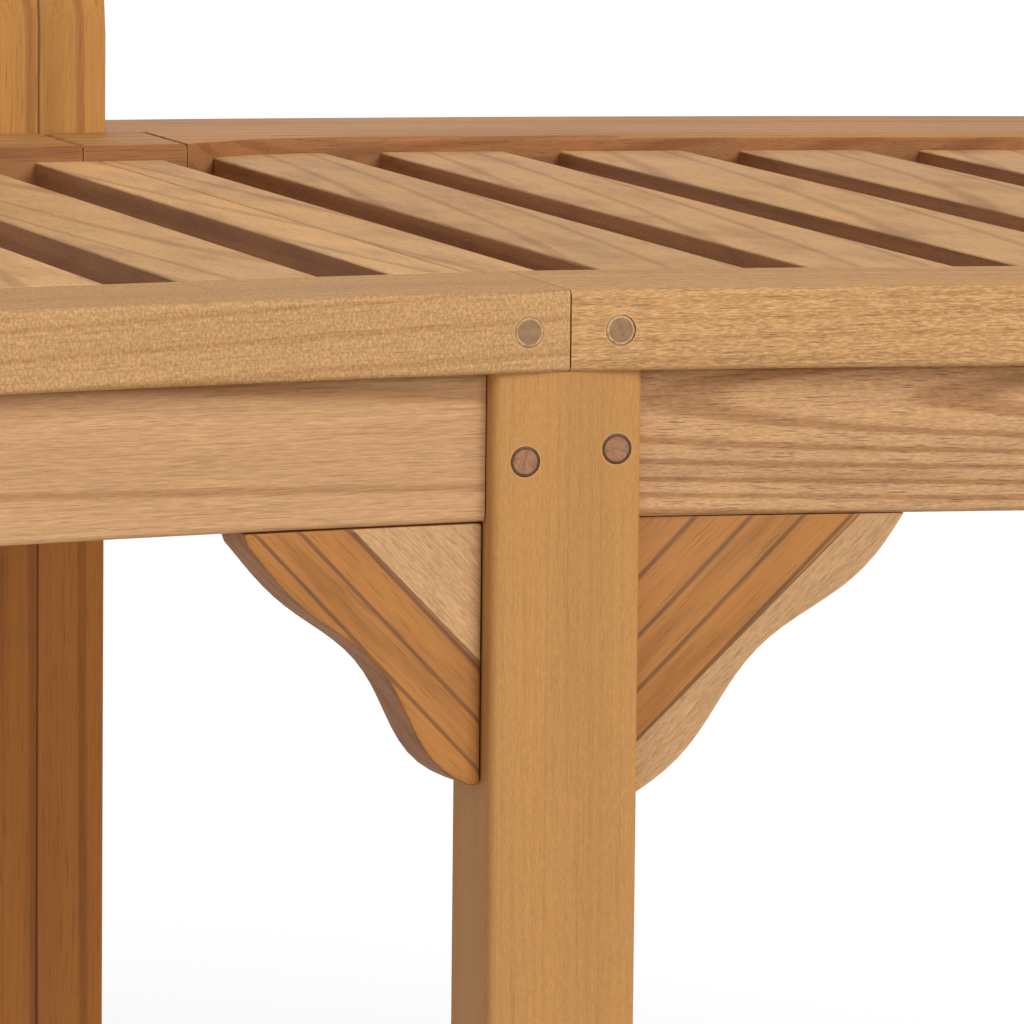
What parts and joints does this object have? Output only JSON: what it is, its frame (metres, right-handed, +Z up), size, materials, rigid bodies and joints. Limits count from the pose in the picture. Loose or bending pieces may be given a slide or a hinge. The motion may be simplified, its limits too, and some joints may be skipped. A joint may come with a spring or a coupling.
{
  "type": "garden bench",
  "caption": "Curved teak garden bench with a hollow front edge, slatted seat and back, arms, pegged legs and shaped brackets.",
  "frame": {"origin": "on the floor, under the middle of the bench's bounding box", "axes": "+X along the bench, to the right as seen from the front; +Y from the front edge towards the back rest; +Z up"},
  "size_m": [1.416, 0.8514, 0.88],
  "materials": {
    "teak_legs": "oiled teak, satin, straight grain up the legs",
    "teak_posts": "oiled teak, satin, straight grain up the posts",
    "teak_boards": "oiled teak, satin, figured front boards",
    "teak_aprons": "oiled teak, satin, fine grain along the aprons",
    "teak_back_boards": "oiled teak, satin, back board, strip and blocks",
    "teak_rails": "oiled teak, satin, rails, bearer and ledgers",
    "teak_brackets": "oiled teak, satin, grain along the bracket's slope",
    "teak_slats": "oiled teak, satin, grain along the slats",
    "teak_arms": "oiled teak, satin, grain along the arms",
    "teak_pegs": "darker end grain of the pegs",
    "steel_screws": "plain stainless steel screws"
  },
  "bodies": {
    "root": {"front_leg_centre": "teak_legs", "front_leg_left": "teak_legs", "front_leg_right": "teak_legs", "rear_post_centre": "teak_posts", "rear_post_left": "teak_posts", "rear_post_right": "teak_posts", "front_board_left": "teak_boards", "front_board_right": "teak_boards", "front_apron_left": "teak_aprons", "front_apron_right": "teak_aprons", "back_board_left": "teak_back_boards", "back_board_right": "teak_back_boards", "rear_strip_left": "teak_back_boards", "rear_strip_right": "teak_back_boards", "rear_block_left": "teak_back_boards", "rear_block_right": "teak_back_boards", "rear_apron_left": "teak_rails", "rear_apron_right": "teak_rails", "side_rail_left": "teak_rails", "side_rail_right": "teak_rails", "centre_bearer": "teak_rails", "front_ledgers": "teak_rails", "rear_ledgers": "teak_rails", "bracket_centre_left": "teak_brackets", "bracket_centre_right": "teak_brackets", "bracket_end_left": "teak_brackets", "bracket_end_right": "teak_brackets", "armrest_left": "teak_arms", "armrest_right": "teak_arms", "top_rail_left": "teak_rails", "top_rail_right": "teak_rails", "low_back_rail_left": "teak_rails", "low_back_rail_right": "teak_rails", "back_slats_left": "teak_slats", "back_slats_right": "teak_slats", "half_slat_left": "teak_slats", "half_slat_right": "teak_slats", "board_pegs": "teak_pegs", "leg_pegs": "teak_pegs", "post_pegs": "teak_pegs", "slat_screws": "steel_screws", "slat_right_1": "teak_slats", "slat_right_2": "teak_slats", "slat_right_3": "teak_slats", "slat_right_4": "teak_slats", "slat_right_5": "teak_slats", "slat_right_6": "teak_slats", "slat_right_7": "teak_slats", "slat_right_8": "teak_slats", "slat_right_9": "teak_slats", "slat_right_10": "teak_slats", "slat_left_1": "teak_slats", "slat_left_2": "teak_slats", "slat_left_3": "teak_slats", "slat_left_4": "teak_slats", "slat_left_5": "teak_slats", "slat_left_6": "teak_slats", "slat_left_7": "teak_slats", "slat_left_8": "teak_slats", "slat_left_9": "teak_slats"}
  },
  "joints": []
}
